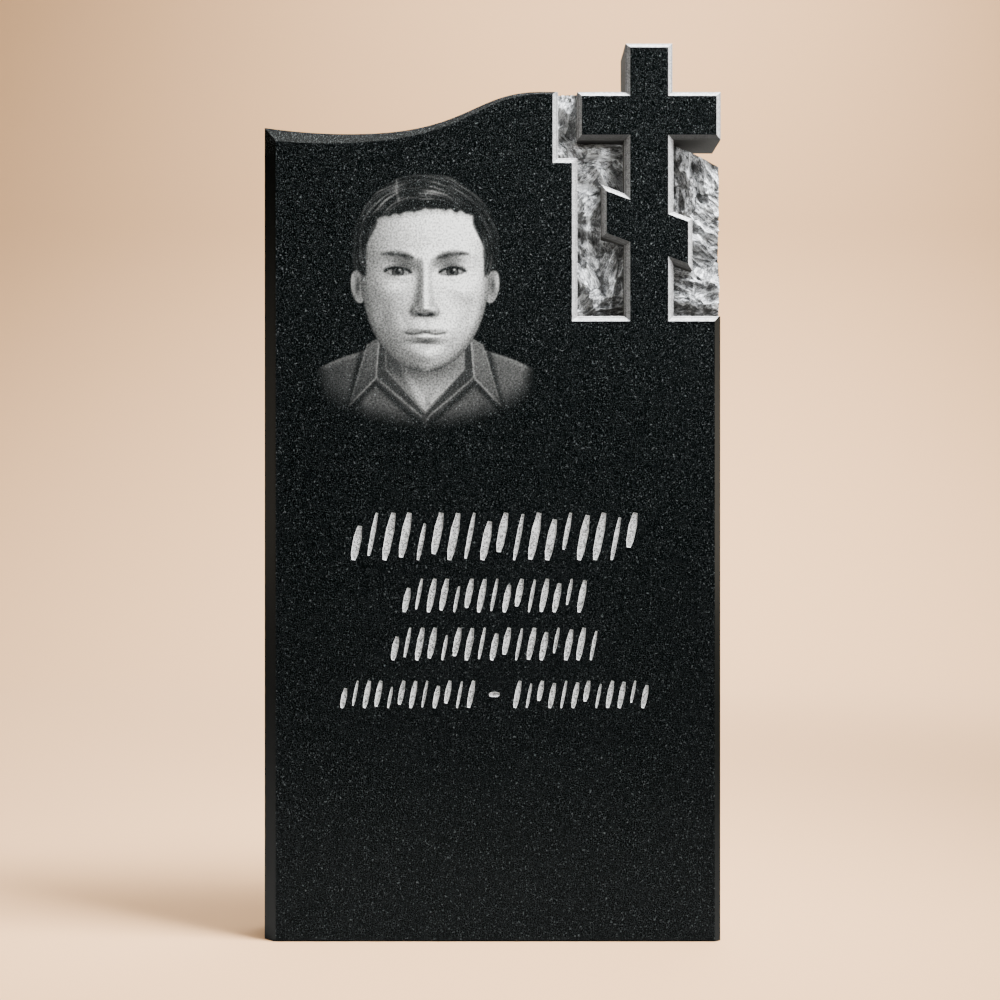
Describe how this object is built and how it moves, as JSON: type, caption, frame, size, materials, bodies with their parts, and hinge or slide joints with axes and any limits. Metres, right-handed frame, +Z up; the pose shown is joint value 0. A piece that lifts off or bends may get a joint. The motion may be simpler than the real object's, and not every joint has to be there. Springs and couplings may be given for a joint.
{
  "type": "headstone",
  "caption": "Upright polished black granite headstone with a wavy top and a carved three-bar cross beside rock-pitched pockets.",
  "frame": {"origin": "centre of the underside, on the surface that the stone stands on", "axes": "+Z up the height; the polished front with its portrait and inscription faces -Y; +X to the right seen from the front, towards the cross"},
  "size_m": [0.5, 0.08, 0.981],
  "materials": {
    "polished_black_granite": "polished faces with pale ground bevels, rock-pitched pocket floors and pale cut strokes"
  },
  "bodies": {
    "root": {"granite_stele": "polished_black_granite"}
  },
  "joints": []
}
